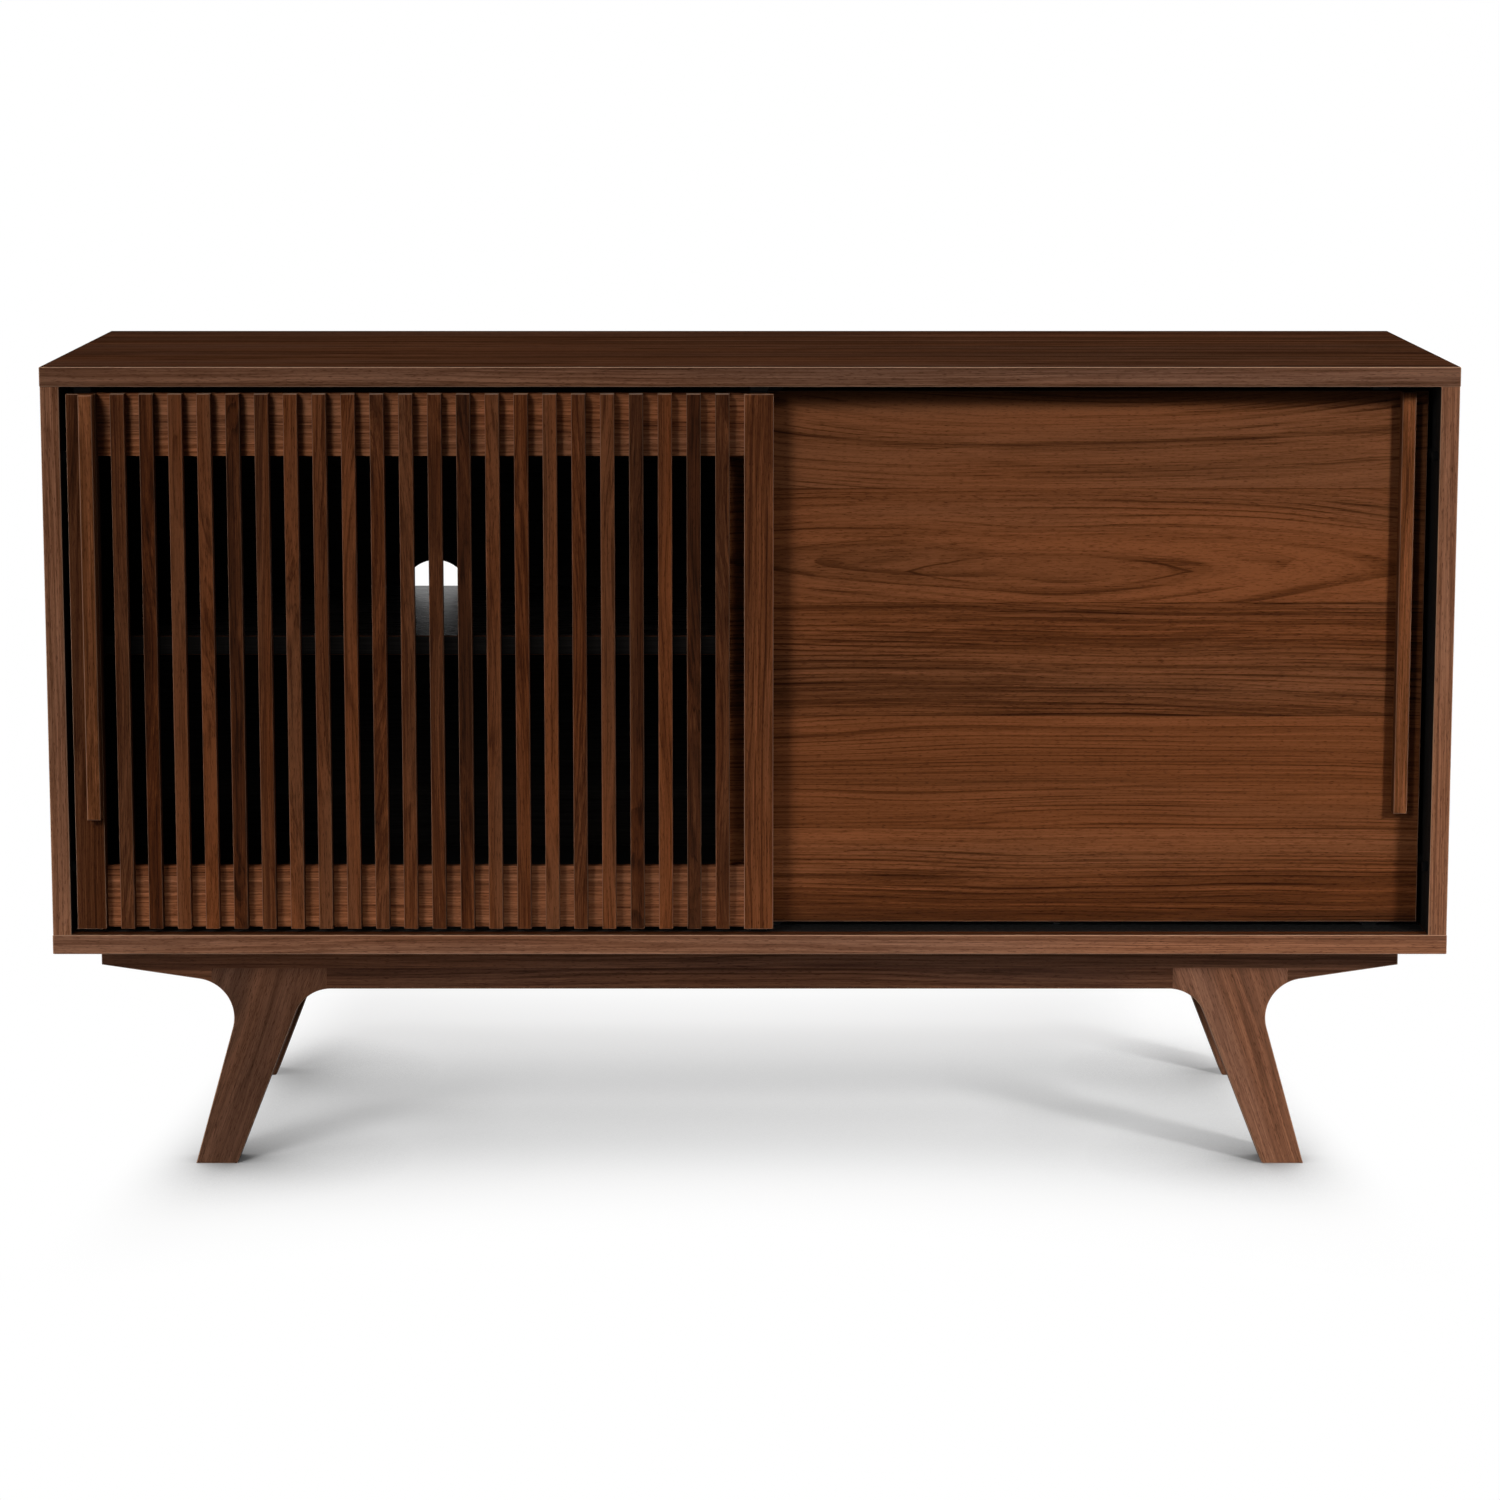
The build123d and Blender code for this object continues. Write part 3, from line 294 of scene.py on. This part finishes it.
class Grain:
    """The figure of a board: bands, lines, veins, rings, fibres and pores along one bending flow."""

    def __init__(self, graph, turn, seed=0.0, index=None, bend=PLAIN_BEND, heart=None, coarse=1.0):
        space = graph.add("Mapping", {"Vector": graph.place(), "Rotation": turn, "Location": (0, seed, 0)})
        straight = space.outputs[0]
        rings = heart(straight) if heart is not None else straight
        if index is not None:
            jump = graph.vector_math("SCALE", BOARD_JUMP)
            graph.feed(jump.node.inputs["Scale"], index)
            straight = graph.vector_math("ADD", straight, jump)
            rings = graph.vector_math("ADD", rings, jump)
        sway = graph.weighted(0.0, (graph.field(straight, SWAY, detail=1.5), bend))
        aside = graph.add("CombineXYZ", {1: sway, 2: sway}).outputs[0]
        flow = graph.vector_math("ADD", rings, aside)
        self.band = graph.field(flow, BAND, detail=1.0, coarse=coarse)
        self.line = graph.field(flow, LINE, detail=4.0, roughness=0.7, coarse=coarse)
        self.fibre = graph.field(straight, FIBRE, detail=3.0, roughness=0.6)
        self.pore = graph.remap(graph.field(straight, PORE, detail=1.0), PORE_SHOWS)
        self.hue = graph.field(flow, HUE)
        self.vein = self.veins(graph, straight, flow)
        self.ring = self.late_wood(graph, straight, flow, coarse)

    @staticmethod
    def veins(graph, straight, flow):
        """1 on thin lines, where a broad field crosses its middle, in patches."""
        swing = graph.math("ABSOLUTE", graph.math("SUBTRACT", graph.field(flow, VEIN), 0.5))
        shown = graph.remap(graph.field(straight, VEIN_PATCH), VEIN_SHOWS)
        return graph.math("MULTIPLY", graph.remap(swing, VEIN_LINE), shown)

    @staticmethod
    def late_wood(graph, straight, flow, coarse):
        """1 on the dark end of each ring, in patches."""
        _, depth, growth = graph.split(flow)
        leaning = graph.math("MULTIPLY_ADD", depth, RING_LEAN, growth)
        crowding = graph.math("MULTIPLY", graph.field(flow, RING_DRIFT), RING_CROWDING)
        years = graph.math("MULTIPLY_ADD", leaning, 1 / (RING_WIDTH * coarse), crowding)
        season = graph.math("FRACT", years)
        late = graph.math("MULTIPLY", graph.remap(season, RING_DARKENS), graph.remap(season, RING_ENDS))
        shown = graph.remap(graph.field(straight, RING_PATCH), RING_SHOWS)
        return graph.math("MULTIPLY", late, shown)

    def tone(self, graph, middle=0.5, contrast=1.0):
        """How light the wood is, about a middle value."""
        weights = (
            (self.band, BAND_WEIGHT),
            (self.line, LINE_WEIGHT),
            (self.fibre, FIBRE_WEIGHT),
            (self.ring, DARK_WEIGHT),
        )
        value = graph.weighted(middle, *((field, contrast * weight) for field, weight in weights))
        return graph.math("MULTIPLY_ADD", self.vein, contrast * DARK_WEIGHT, value)

    def height(self, graph):
        return graph.weighted(0.5, (self.fibre, RELIEF_WEIGHT), (self.pore, -RELIEF_WEIGHT))


def wood_surface(graph, grain, colour, specular=WOOD_SPECULAR, edges=BOARD_EDGES, wear_and_highlight=WEAR_AND_HIGHLIGHT, drift=DRIFT):
    """Oiled wood: a drifting hue, dark pores, eased edges worn paler and lightened as a painted highlight,
    fibres in its gloss and relief.
    """
    hue = graph.mix(graph.remap(grain.hue, HUE_SPAN), GREYISH, REDDISH)
    colour = graph.mix(drift, colour, hue, blend="MULTIPLY")
    dark = graph.mix(1.0, colour, PORE_TINT, blend="MULTIPLY")
    colour = graph.mix(grain.pore, colour, dark)
    # wear and painted highlight: the eased edges are mixed towards the paler tone
    worn_and_highlit = graph.math("MULTIPLY", graph.eased_edges(edges), wear_and_highlight)
    colour = graph.mix(worn_and_highlit, colour, WORN_AND_HIGHLIT_EDGE)
    roughness = graph.remap(grain.fibre, FIELD_SPAN, WOOD_ROUGHNESS)
    return graph.surface(colour, roughness, grain.height(graph), WOOD_RELIEF, specular=specular)


def inside_case(graph, front):
    """1 on the faces that look into the case behind a depth, which are stained black; on the sides that
    depth is just behind the front arris, so their black near the front is also painted shade.
    """
    x, y, z = graph.split(graph.place())
    tests = (
        graph.math("GREATER_THAN", y, front),
        graph.math("LESS_THAN", y, BACK_PANEL_FRONT_Y + FACE_MARGIN),
        graph.math("LESS_THAN", graph.math("ABSOLUTE", x), SIDE_INNER + FACE_MARGIN),
        graph.math("GREATER_THAN", z, CASE_FLOOR - FACE_MARGIN),
        graph.math("LESS_THAN", z, CASE_CEILING + FACE_MARGIN),
    )
    inside = tests[0]
    for test in tests[1:]:
        inside = graph.math("MULTIPLY", inside, test)
    return inside


def case_walnut(name, turn, tones, edge_tones, stain_front, specular=WOOD_SPECULAR):
    """A case board: its own tone on the faces, another on the front edge, black inside from a depth on."""
    graph = Graph(bpy.data.materials.new(name))
    grain = Grain(graph, turn)
    tone = grain.tone(graph)
    _, y, _ = graph.split(graph.place())
    edge = graph.math("LESS_THAN", y, FRONT_Y + FACE_MARGIN)
    colour = graph.mix(edge, graph.tones(tone, tones), graph.tones(tone, edge_tones))
    colour = graph.mix(inside_case(graph, stain_front), colour, graph.tones(tone, INSIDE_TONES))
    return wood_surface(graph, grain, colour, specular, wear_and_highlight=CASE_WEAR_AND_HIGHLIGHT)


def plain_walnut(name, turn, tones, seed=0.0, bend=PLAIN_BEND, wear_and_highlight=WEAR_AND_HIGHLIGHT):
    graph = Graph(bpy.data.materials.new(name))
    grain = Grain(graph, turn, seed, bend=bend)
    return wood_surface(graph, grain, graph.tones(grain.tone(graph), tones), wear_and_highlight=wear_and_highlight)


def leg_walnut(name, turn, tones):
    """Legs: broad soft figure that wanders, and no fine stripes."""
    graph = Graph(bpy.data.materials.new(name))
    grain = Grain(graph, turn, bend=LEG_BEND, coarse=LEG_COARSENESS)
    tone = grain.tone(graph, contrast=LEG_CONTRAST)
    return wood_surface(graph, grain, graph.tones(tone, tones), edges=LEG_EDGES)


def door_walnut():
    """The plain door's veneer, laid up from strips; rings close round a heart in one of them, and painted
    shade darkens it towards its bottom edge.
    """
    graph = Graph(bpy.data.materials.new("door_walnut"))
    x, _, z = graph.split(graph.place())
    strips = graph.math("DIVIDE", graph.math("SUBTRACT", z, VENEER_FIRST_SEAM), VENEER_STRIP)
    index = graph.math("FLOOR", strips)

    def heart(space):
        """Replaces the height by the distance from the strip's own heart, in long flat rings."""
        along, across, up = graph.split(space)
        away = graph.math("SUBTRACT", index, HEART_STRIP)
        level = graph.math("MULTIPLY_ADD", away, HEART_STEP, HEART_PLACE[1])
        above = graph.math("MAXIMUM", away, 0.0)
        flatness = graph.math("MULTIPLY_ADD", above, HEART_FLATNESS, HEART_FLATNESS)
        sideways = graph.math("MULTIPLY", graph.math("SUBTRACT", along, HEART_PLACE[0]), flatness)
        upward = graph.math("SUBTRACT", up, level)
        offset = graph.add("CombineXYZ", {0: sideways, 1: HEART_DEPTH, 2: upward})
        rings = graph.vector_math("LENGTH", offset.outputs[0]).node.outputs["Value"]
        return graph.add("CombineXYZ", {0: along, 1: across, 2: rings}).outputs[0]

    def heart_line():
        """1 on a thin line round the heart, pointed like an eye, fainter below and between its ends."""
        wander = graph.weighted(0.0, (graph.field(graph.place(), HEART_WANDER), HEART_WANDER_SWING))
        along = graph.math("DIVIDE", graph.math("SUBTRACT", x, HEART_PLACE[0]), HEART_HALF[0])
        upward = graph.math("DIVIDE", graph.math("SUBTRACT", z, HEART_PLACE[1]), HEART_HALF[1])
        out = graph.math("MULTIPLY_ADD", along, along, graph.math("ABSOLUTE", upward))
        out = graph.math("ADD", out, wander)
        line = graph.remap(graph.math("ABSOLUTE", graph.math("SUBTRACT", out, 1.0)), HEART_LINE)
        lower_half = (HEART_PLACE[1] - HEART_HALF[1], HEART_PLACE[1])
        upper = graph.remap(z, lower_half, (HEART_LINE_BELOW, 1.0))
        ends = graph.remap(graph.math("ABSOLUTE", along), HEART_LINE_ENDS, (HEART_LINE_MIDDLE, 1.0))
        return graph.math("MULTIPLY", line, graph.math("MULTIPLY", upper, ends))

    grain = Grain(graph, GRAIN_X, index=index, bend=DOOR_BEND, heart=heart)
    shade = graph.add("TexWhiteNoise", {"W": index}, noise_dimensions="1D").outputs["Value"]
    nearest = graph.math("ABSOLUTE", graph.math("SUBTRACT", strips, graph.math("ROUND", strips)))
    seam = graph.remap(nearest, SEAM_LINE)
    dark = graph.math("MAXIMUM", seam, graph.math("MULTIPLY", heart_line(), HEART_LINE_STRENGTH))
    # painted shade: the lowest strip grows darker towards the door's bottom edge
    lowest = graph.math("LESS_THAN", z, VENEER_FIRST_SEAM)
    painted_foot_shade = graph.math("MULTIPLY", lowest, graph.remap(z, LOWEST_STRIP, LOWEST_PAINTED_SHADE))
    strip = graph.math("FRACT", graph.math("MULTIPLY_ADD", index, *STRIP_CHARACTER))
    lively = graph.math("MULTIPLY_ADD", strip, *STRIP_CONTRAST)
    figure = grain.tone(graph, middle=0.0, contrast=DOOR_CONTRAST)
    figure = graph.math("MULTIPLY_ADD", figure, lively, painted_foot_shade)
    terms = ((figure, 1.0), (shade, STRIP_SHADE), (dark, DOOR_LINES), (grain.ring, DOOR_RINGS))
    tone = graph.weighted(DOOR_LIGHTNESS, *terms)
    middle_hue, hue_swing = DOOR_HUE
    grain.hue = graph.weighted(middle_hue, (grain.hue, hue_swing), (strip, STRIP_HUE))
    return wood_surface(graph, grain, graph.tones(tone, DOOR_TONES))


def slat_walnut():
    """Slats cut from many boards: each has its own tone and figure, and a painted highlight on its upper
    end.
    """
    graph = Graph(bpy.data.materials.new("slat_walnut"))
    x, _, _ = graph.split(graph.place())
    index = graph.math("FLOOR", graph.math("DIVIDE", graph.math("SUBTRACT", x, SLATS_LEFT), SLAT_PITCH))
    grain = Grain(graph, GRAIN_Z, index=index, bend=SLAT_BEND)
    shade = graph.add("TexWhiteNoise", {"W": index}, noise_dimensions="1D").outputs["Value"]
    tone = graph.weighted(0.5, (grain.tone(graph), 1.0), (shade, SLAT_SHADE))
    # painted highlight: faces that look up, the slats' upper ends, take the pale edge tone
    colour = graph.mix(graph.facing_up(), graph.tones(tone, SLAT_TONES), WORN_AND_HIGHLIT_EDGE)
    return wood_surface(graph, grain, colour, wear_and_highlight=SLAT_WEAR_AND_HIGHLIGHT, drift=SLAT_DRIFT)


def interior_board():
    """Shelves and divider: black-stained, smoother on top, their edges worn a little and lightened as a
    painted highlight.
    """
    graph = Graph(bpy.data.materials.new("interior_board"))
    grain = Grain(graph, GRAIN_X)
    stain = graph.tones(grain.tone(graph), INSIDE_TONES)
    # wear and painted highlight on the eased edges
    colour = graph.mix(graph.eased_edges(BOARD_EDGES), stain, SHELF_ARRIS_WEAR_AND_HIGHLIGHT)
    matt = graph.remap(grain.fibre, FIELD_SPAN, INSIDE_ROUGHNESS)
    roughness = graph.math("MULTIPLY_ADD", graph.facing_up(), -SHELF_POLISH, matt)
    return graph.surface(colour, roughness, grain.height(graph), INSIDE_RELIEF, specular=INSIDE_SPECULAR)


def back_board():
    """Back panels: dark walnut veneer behind, black towards the bays."""
    graph = Graph(bpy.data.materials.new("back_board"))
    grain = Grain(graph, GRAIN_X)
    tone = grain.tone(graph)
    _, y, _ = graph.split(graph.place())
    outside = graph.math("GREATER_THAN", y, BACK_PANEL_BACK_Y - FACE_MARGIN)
    colour = graph.mix(outside, graph.tones(tone, INSIDE_TONES), graph.tones(tone, SLAT_TONES))
    return wood_surface(graph, grain, colour)


def moulded(name, colour, roughness, grain_size, specular):
    """Plastic or rubber with a fine moulded texture."""
    graph = Graph(bpy.data.materials.new(name))
    texture = graph.field(graph.place(), (grain_size, grain_size), detail=3.0)
    pale = tuple(MOULDED_PALE * channel for channel in colour)
    tint = graph.mix(texture, (*colour, 1), (*pale, 1))
    limits = [roughness + change for change in MOULDED_GLOSS]
    gloss = graph.remap(texture, FIELD_SPAN, limits)
    return graph.surface(tint, gloss, texture, MOULDED_RELIEF, specular=specular)


def drawn_metal(name, colour, roughness, line_length):
    """Plated or machined metal with faint drawn lines."""
    graph = Graph(bpy.data.materials.new(name))
    texture = graph.field(graph.place(), (METAL_LINE, line_length), detail=3.0)
    dull = tuple(METAL_DULL * channel for channel in colour)
    tint = graph.mix(texture, (*dull, 1), (*colour, 1))
    limits = [roughness + change for change in METAL_GLOSS]
    gloss = graph.remap(texture, FIELD_SPAN, limits)
    return graph.surface(tint, gloss, texture, METAL_RELIEF, metallic=1.0)


def dress(material, *names):
    for name in names:
        slots = nodes[name].data.materials
        slots.clear()
        slots.append(material)


def dress_case():
    behind_track = TRACK_BACK_Y + FACE_MARGIN
    behind_arris = FRONT_Y + ARRIS
    # the top's darker face is partly painted shade
    top = case_walnut("shaded_top_walnut", GRAIN_X, SHADED_TOP_TONES, EDGE_TONES, behind_track, specular=0.0)
    bottom = case_walnut("bottom_walnut", GRAIN_X, SLAT_TONES, PALE_EDGE_TONES, behind_track)
    # the sides are black inside from just behind the arris: a black stain, and near the front painted
    # shade
    sides = case_walnut("side_walnut", GRAIN_Z, SLAT_TONES, PALE_EDGE_TONES, behind_arris)
    dress(top, "top_panel")
    dress(bottom, "bottom_panel")
    dress(sides, "left_side", "right_side")
    dress(interior_board(), "center_divider", "left_shelf", "right_shelf")
    dress(back_board(), "left_back_panel", "right_back_panel")


def dress_doors():
    dress(door_walnut(), "solid_door_panel")
    dress(slat_walnut(), "slatted_door_slats")
    stiles = (
        ("outer_stile_walnut", OUTER_STILE_TONES, "slatted_door_outer_stile"),
        ("inner_stile_walnut", INNER_STILE_TONES, "slatted_door_inner_stile"),
    )
    for name, tones, node in stiles:
        dress(plain_walnut(name, GRAIN_Z, tones, seed=3.0, bend=STILE_BEND), node)
    handles = (
        ("left_handle_walnut", LEFT_HANDLE_TONES, 7.0, "slatted_door_handle"),
        ("right_handle_walnut", RIGHT_HANDLE_TONES, 8.0, "solid_door_handle"),
    )
    for name, tones, seed, node in handles:
        dress(plain_walnut(name, GRAIN_Z, tones, seed, HANDLE_BEND, HANDLE_WEAR_AND_HIGHLIGHT), node)
    rails = plain_walnut("door_rail_walnut", GRAIN_X, RAIL_TONES, seed=5.0)
    dress(rails, "slatted_door_top_rail", "slatted_door_bottom_rail")


def dress_base():
    # lit and shaded copies of the leg walnut, partly painted light from the right
    left_leg = leg_walnut("shaded_left_leg_walnut", GRAIN_LEFT_LEG, SHADED_LEFT_LEG_TONES)
    right_leg = leg_walnut("lit_right_leg_walnut", GRAIN_RIGHT_LEG, LIT_RIGHT_LEG_TONES)
    rail = plain_walnut("base_rail_walnut", GRAIN_X, BASE_RAIL_TONES, seed=2.0)
    stretcher = plain_walnut("stretcher_walnut", GRAIN_X, STRETCHER_TONES, seed=4.0)
    for end in ("front", "rear"):
        dress(left_leg, f"{end}_left_leg")
        dress(right_leg, f"{end}_right_leg")
        dress(rail, f"{end}_top_rail", f"{end}_left_wing", f"{end}_right_wing")
        dress(stretcher, f"{end}_stretcher")
    dress(plain_walnut("cross_rail_walnut", GRAIN_Y, BASE_TONES), "left_cross_rail", "right_cross_rail")


def dress_hardware():
    track = moulded("track_black", TRACK_BLACK, roughness=0.36, grain_size=0.004, specular=0.2)
    rubber = moulded("rubber", DEEP_BLACK, roughness=0.75, grain_size=0.0015, specular=0.05)
    nylon = moulded("nylon", DEEP_BLACK, roughness=0.55, grain_size=0.002, specular=0.1)
    steel = drawn_metal("steel", STEEL, roughness=0.34, line_length=0.004)
    brass = drawn_metal("brass_insert", BRASS, roughness=0.30, line_length=0.003)
    dress(track, "bottom_track", "top_track")
    dress(rubber, "door_bumpers")
    for door in ("slatted_door", "solid_door"):
        dress(nylon, f"{door}_top_guides", f"{door}_roller_housings")
        dress(nylon, f"{door}_outer_roller", f"{door}_inner_roller")
        dress(steel, f"{door}_handle_screws", f"{door}_roller_axles")
    dress(steel, "shelf_pins", "track_screws", "back_screws", "base_bolts")
    dress(brass, "base_inserts")
    dress(plain_walnut("dowel_beech", GRAIN_Z, BEECH_TONES), "case_dowels", "base_dowels")


FLOOR_SIZE = 40.0
FLOOR_ALBEDO = 0.35
FLOOR_BOUNCE = 0.12  # how much of its light the floor gives back to the object
FLOOR_GLOW = 0.725  # share of white given as glow, which ambient occlusion darkens into a painted shadow under nearby things
PAINTED_CONTACT_SHADOWS = ((0.28, 0.8), (0.16, 2.4))  # painted shadows from ambient occlusion: how far such things count, and how strongly: the case, the feet
PAINTED_SHADOW_SAMPLES = 8
SHADOW_FADE_X = (0.48, 0.60)  # from the middle, where the shadow gives way to plain white
SHADOW_FADE_Y = (0.15, 0.55)
SHADOW_MIDDLE_Y = 0.12
SHADOW_SLANT = 0.12  # the shadow is wider towards the front
SHADOW_BOW = 0.5  # and reaches further forward beside the feet
WHITE = (1, 1, 1, 1)


def grey(level):
    return (level, level, level, 1)


def seen_directly(graph):
    """1 for rays that show the surroundings: from the camera, or by reflection or through glass."""
    path = graph.add("LightPath")
    seen = path.outputs["Is Camera Ray"]
    for kind in ("Is Glossy Ray", "Is Transmission Ray"):
        seen = graph.math("MAXIMUM", seen, path.outputs[kind])
    return seen


def make_floor():
    """A pale floor that shows the object's shadow from the lamps near it, with a painted shadow from
    ambient occlusion on its glow, and plain white far off.
    """
    half = FLOOR_SIZE / 2
    corners = [(-half, -half, 0), (half, -half, 0), (half, half, 0), (-half, half, 0)]
    mesh = bpy.data.meshes.new("floor")
    mesh.from_pydata(corners, [], [(0, 1, 2, 3)])
    floor = bpy.data.objects.new("floor", mesh)
    bpy.context.scene.collection.objects.link(floor)

    graph = Graph(bpy.data.materials.new("floor"))
    diffuse = graph.add("BsdfDiffuse", {"Color": grey(FLOOR_ALBEDO)})
    level = FLOOR_GLOW
    # painted shadow: ambient occlusion darkens the glow near the case and the feet
    for reach, strength in PAINTED_CONTACT_SHADOWS:
        occlusion = graph.add("AmbientOcclusion", {"Distance": reach}, samples=PAINTED_SHADOW_SAMPLES)
        level = graph.math("MULTIPLY", graph.math("POWER", occlusion.outputs["AO"], strength), level)
    glow = graph.add("Emission", {"Color": WHITE, "Strength": level})
    lit = graph.add("AddShader", {0: diffuse.outputs[0], 1: glow.outputs[0]})
    white = graph.add("Emission", {"Color": WHITE, "Strength": 1.0})
    x, y, _ = graph.split(graph.place())
    off_x = graph.math("MULTIPLY_ADD", y, SHADOW_SLANT, graph.math("ABSOLUTE", x))
    kept_x = graph.remap(off_x, SHADOW_FADE_X, (1.0, 0.0))
    off_y = graph.math("ABSOLUTE", graph.math("SUBTRACT", y, SHADOW_MIDDLE_Y))
    off_y = graph.math("MULTIPLY_ADD", graph.math("MULTIPLY", x, x), -SHADOW_BOW, off_y)
    kept_y = graph.remap(off_y, SHADOW_FADE_Y, (1.0, 0.0))
    far = graph.math("SUBTRACT", 1.0, graph.math("MULTIPLY", kept_x, kept_y))
    shown = graph.add("MixShader", {0: far, 1: lit.outputs[0], 2: white.outputs[0]})
    bounce = graph.add("BsdfDiffuse", {"Color": grey(FLOOR_BOUNCE)})
    both = graph.add("MixShader", {0: seen_directly(graph), 1: bounce.outputs[0], 2: shown.outputs[0]})
    graph.add("OutputMaterial", {"Surface": both.outputs[0]})
    mesh.materials.append(graph.owner)
    return floor


AMBIENT_FRONT = 0.03
AMBIENT_BEHIND = 0.55
AMBIENT_TURN = (-0.1, 0.6)  # from the front level to the one behind, as the direction's Y


def make_world():
    """A soft studio dome, stronger behind the object than before it, shown as plain white."""
    graph = Graph(bpy.data.worlds.new("studio"))
    _, towards_back, _ = graph.split(graph.add("TexCoord").outputs["Generated"])
    dome = graph.remap(towards_back, AMBIENT_TURN, (AMBIENT_FRONT, AMBIENT_BEHIND))
    level = graph.math("MAXIMUM", dome, seen_directly(graph))
    background = graph.add("Background", {"Color": WHITE, "Strength": level})
    graph.add("OutputWorld", {"Surface": background.outputs[0]})
    bpy.context.scene.world = graph.owner


LEFT_SPREAD = radians(30)  # the front softboxes carry grids, so each mostly lights its own half
RIGHT_SPREAD = radians(14)
LOW_SPREAD = radians(10)  # a narrow strip that reaches the base under the case
FILL_SPREAD = radians(36)
CASE_MIDDLE_Z = 0.36
# Softboxes, as name, place, target, (width, height), watts and spread
MAIN_LIGHTS = (
    ("left", (-2.1, -3.4, 2.3), (-0.40, FRONT_Y, 0.42), (1.4, 2.0), 8.4, LEFT_SPREAD),
    ("right", (4.1, -3.4, 2.3), (1.80, FRONT_Y, 0.42), (2.6, 2.0), 18.0, RIGHT_SPREAD),
    ("low", (0.0, -4.2, 0.42), (0.0, FRONT_Y, 0.06), (3.0, 0.3), 1.7, LOW_SPREAD),
    ("overhead", (0.0, 0.0, 3.2), (0.0, 0.0, 0.0), (2.4, 1.4), 6.0, pi),
)
END_SIZE = (1.6, 1.6)
END_POWER = 6.5
FILL_LIGHTS = (
    ("back", (0.8, 4.4, 2.3), (0.0, BACK_PANEL_BACK_Y, CASE_MIDDLE_Z), (2.4, 1.6), 11.0, FILL_SPREAD),
    ("left_end", (-3.9, 0.6, 2.1), (-SIDE_INNER, 0.0, CASE_MIDDLE_Z), END_SIZE, END_POWER, FILL_SPREAD),
    ("right_end", (3.9, 0.6, 2.1), (SIDE_INNER, 0.0, CASE_MIDDLE_Z), END_SIZE, END_POWER, FILL_SPREAD),
)


def softbox(name, place, target, size, power, spread):
    """A soft area light, aimed at a target and not seen itself."""
    data = bpy.data.lights.new(name, "AREA")
    data.shape = "RECTANGLE"
    data.size, data.size_y = size
    data.energy = power
    data.spread = spread
    lamp = bpy.data.objects.new(name, data)
    lamp.location = place
    lamp.rotation_euler = (Vector(target) - Vector(place)).to_track_quat("-Z", "Y").to_euler()
    lamp.visible_camera = False
    lamp.visible_glossy = False
    bpy.context.scene.collection.objects.link(lamp)
    return lamp


def make_lights(floor):
    """The front and overhead lights, and fills for back and ends that spare the floor."""
    for light in MAIN_LIGHTS:
        softbox(*light)
    spared = bpy.data.collections.new("spared_by_fills")
    spared.objects.link(floor)
    spared.collection_objects[0].light_linking.link_state = "EXCLUDE"
    for light in FILL_LIGHTS:
        softbox(*light).light_linking.receiver_collection = spared


CAMERA_PLACE = (-0.0069, -4.1533, 1.1159)
CAMERA_PITCH = radians(8.401)  # downward
CAMERA_LENS = 99.86
CAMERA_SHIFT = (0.0049, -0.08)


def make_camera():
    data = bpy.data.cameras.new("camera")
    data.lens = CAMERA_LENS
    data.shift_x, data.shift_y = CAMERA_SHIFT
    camera = bpy.data.objects.new("camera", data)
    camera.location = CAMERA_PLACE
    camera.rotation_euler = (pi / 2 - CAMERA_PITCH, 0, 0)
    bpy.context.scene.collection.objects.link(camera)
    bpy.context.scene.camera = camera


dress_case()
dress_doors()
dress_base()
dress_hardware()
make_world()
make_lights(make_floor())
make_camera()
bpy.context.scene.view_settings.view_transform = "Standard"
